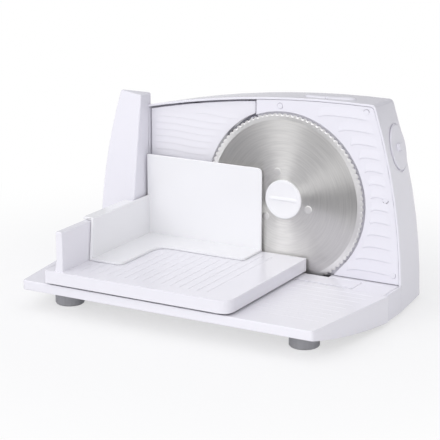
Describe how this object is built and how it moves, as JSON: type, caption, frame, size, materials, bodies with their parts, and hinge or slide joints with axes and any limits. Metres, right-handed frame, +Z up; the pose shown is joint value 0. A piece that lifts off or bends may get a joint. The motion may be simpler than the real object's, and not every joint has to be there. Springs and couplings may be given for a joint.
{
  "type": "food slicer",
  "caption": "Household electric food slicer: scalloped round blade on a drive tower, sliding food carriage with pusher, and a fence set by a side dial.",
  "frame": {"origin": "on the table under the middle of the machine's box", "axes": "+X along the carriage travel to the user's right, +Y to the rear, +Z up"},
  "size_m": [0.3868, 0.259, 0.2268],
  "materials": {
    "shell_plastic": "glossy white moulded plastic with a faint lavender cast",
    "tray_plastic": "glossy white moulded plastic",
    "guard_plastic": "glossy bright white moulded plastic",
    "blade_steel": "stainless steel with circular brushing and a ground bevel",
    "plain_steel": "ground steel rod",
    "cast_zinc": "plain cast metal",
    "gear_plastic": "natural acetal",
    "bronze": "sintered bronze",
    "foot_rubber": "mid grey rubber"
  },
  "bodies": {
    "housing": {"base": "tray_plastic", "guide_rail": "tray_plastic", "foot_front_left": "foot_rubber", "foot_front_right": "foot_rubber", "foot_rear_left": "foot_rubber", "foot_rear_right": "foot_rubber", "bottom_cover": "shell_plastic", "rear_shell": "shell_plastic", "left_pillar": "shell_plastic", "front_panel": "shell_plastic", "panel_plug_1": "shell_plastic", "panel_plug_2": "shell_plastic", "panel_plug_3": "shell_plastic", "panel_plug_4": "shell_plastic", "fence_rod_left": "plain_steel", "fence_rod_right": "plain_steel", "blade_axle": "plain_steel", "motor_can": "cast_zinc", "motor_end_cap": "gear_plastic", "worm_bush": "bronze", "gearbox_bracket": "cast_zinc", "motor_cradle": "gear_plastic", "switch_body": "gear_plastic"},
    "carriage_body": {"carriage": "tray_plastic"},
    "pusher_body": {"pusher": "guard_plastic"},
    "fence_body": {"fence_plate": "tray_plastic", "fence_arm": "cast_zinc"},
    "dial_body": {"thickness_dial": "shell_plastic", "thickness_cam": "gear_plastic"},
    "blade_body": {"blade": "blade_steel", "blade_gear": "gear_plastic", "blade_rivet_1": "blade_steel", "blade_rivet_2": "blade_steel", "blade_rivet_3": "blade_steel"},
    "knob_body": {"blade_lock_knob": "guard_plastic"},
    "worm_body": {"worm": "bronze", "motor_shaft": "plain_steel"},
    "switch_rocker_body": {"switch_rocker": "shell_plastic"}
  },
  "joints": [
    {"name": "carriage_slide", "type": "slide", "parent": "housing", "child": "carriage_body", "axis": [1, 0, 0], "range_m": [0, 0.13]},
    {"name": "pusher_slide", "type": "slide", "parent": "carriage_body", "child": "pusher_body", "axis": [0, -1, 0], "range_m": [0, 0.1]},
    {"name": "fence_slide", "type": "slide", "parent": "housing", "child": "fence_body", "axis": [0, 1, 0], "range_m": [-0.004, 0.012]},
    {"name": "dial_turn", "type": "hinge", "parent": "housing", "child": "dial_body", "pos_m": [0.16558, 0.0945, 0.174], "axis": [0.9593, 0.1368, 0.2471], "range_deg": [-75.1, 225.1]},
    {"name": "blade_spin", "type": "hinge", "parent": "housing", "child": "blade_body", "pos_m": [0.051, 0.0495, 0.112], "axis": [0, 1, 0], "continuous": true},
    {"name": "blade_lock_turn", "type": "hinge", "parent": "blade_body", "child": "knob_body", "pos_m": [0.051, 0.0485, 0.112], "axis": [0, 1, 0], "range_deg": [0, 90]},
    {"name": "motor_spin", "type": "hinge", "parent": "housing", "child": "worm_body", "pos_m": [0.051, 0.0785, 0.068], "axis": [1, 0, 0], "continuous": true},
    {"name": "switch_rock", "type": "hinge", "parent": "housing", "child": "switch_rocker_body", "pos_m": [0.09221, 0.07589, 0.21477], "axis": [0, 0.9903, -0.1392], "range_deg": [-4, 4], "stiffness_Nm_per_rad": 0.4}
  ],
  "couplings": [
    {"joint": "dial_turn", "follows": "fence_slide", "rad_per_m": 327.2},
    {"joint": "motor_spin", "follows": "blade_spin", "ratio": 36}
  ]
}
